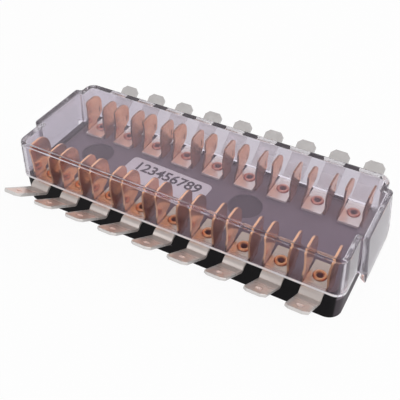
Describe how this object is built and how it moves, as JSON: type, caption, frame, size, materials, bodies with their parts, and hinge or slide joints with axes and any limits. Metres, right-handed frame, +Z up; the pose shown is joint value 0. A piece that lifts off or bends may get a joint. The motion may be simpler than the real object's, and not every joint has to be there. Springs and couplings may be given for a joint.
{
  "type": "fuse box",
  "caption": "Low open fuse box: two rows of copper spring clips riveted with blade tabs to a black moulded base, under a clear cover that clips on and lifts off.",
  "frame": {"origin": "centre of the base's bottom face", "axes": "+X along the rows of fuses, +Y from the front row to the rear row, +Z up through the cover"},
  "size_m": [0.1114, 0.065, 0.022],
  "materials": {
    "base": "black moulded thermoset, satin",
    "cover": "clear moulded polystyrene, glossy",
    "copper": "bare copper eyelet, satin",
    "clip_copper": "bare copper alloy spring sheet, satin",
    "tin": "tin-plated brass strip, semi-bright",
    "label": "white printed sticker"
  },
  "bodies": {
    "box": {"base": "base", "rivets": "copper", "label": "label", "front_terminal_1": "tin", "front_terminal_2": "tin", "front_terminal_3": "tin", "front_terminal_4": "tin", "front_terminal_5": "tin", "front_terminal_6": "tin", "front_terminal_7": "tin", "front_terminal_8": "tin", "front_terminal_9": "tin", "rear_terminal_1": "tin", "rear_terminal_2": "tin", "rear_terminal_3": "tin", "rear_terminal_4": "tin", "rear_terminal_5": "tin", "rear_terminal_6": "tin", "rear_terminal_7": "tin", "rear_terminal_8": "tin", "rear_terminal_9": "tin", "front_clip_1": "clip_copper", "front_clip_2": "clip_copper", "front_clip_3": "clip_copper", "front_clip_4": "clip_copper", "front_clip_5": "clip_copper", "front_clip_6": "clip_copper", "front_clip_7": "clip_copper", "front_clip_8": "clip_copper", "front_clip_9": "clip_copper", "rear_clip_1": "clip_copper", "rear_clip_2": "clip_copper", "rear_clip_3": "clip_copper", "rear_clip_4": "clip_copper", "rear_clip_5": "clip_copper", "rear_clip_6": "clip_copper", "rear_clip_7": "clip_copper", "rear_clip_8": "clip_copper", "rear_clip_9": "clip_copper"},
    "lid": {"cover": "cover"}
  },
  "joints": [
    {"name": "cover_lift", "type": "slide", "parent": "box", "child": "lid", "axis": [0, 0, 1], "range_m": [0, 0.03]}
  ]
}
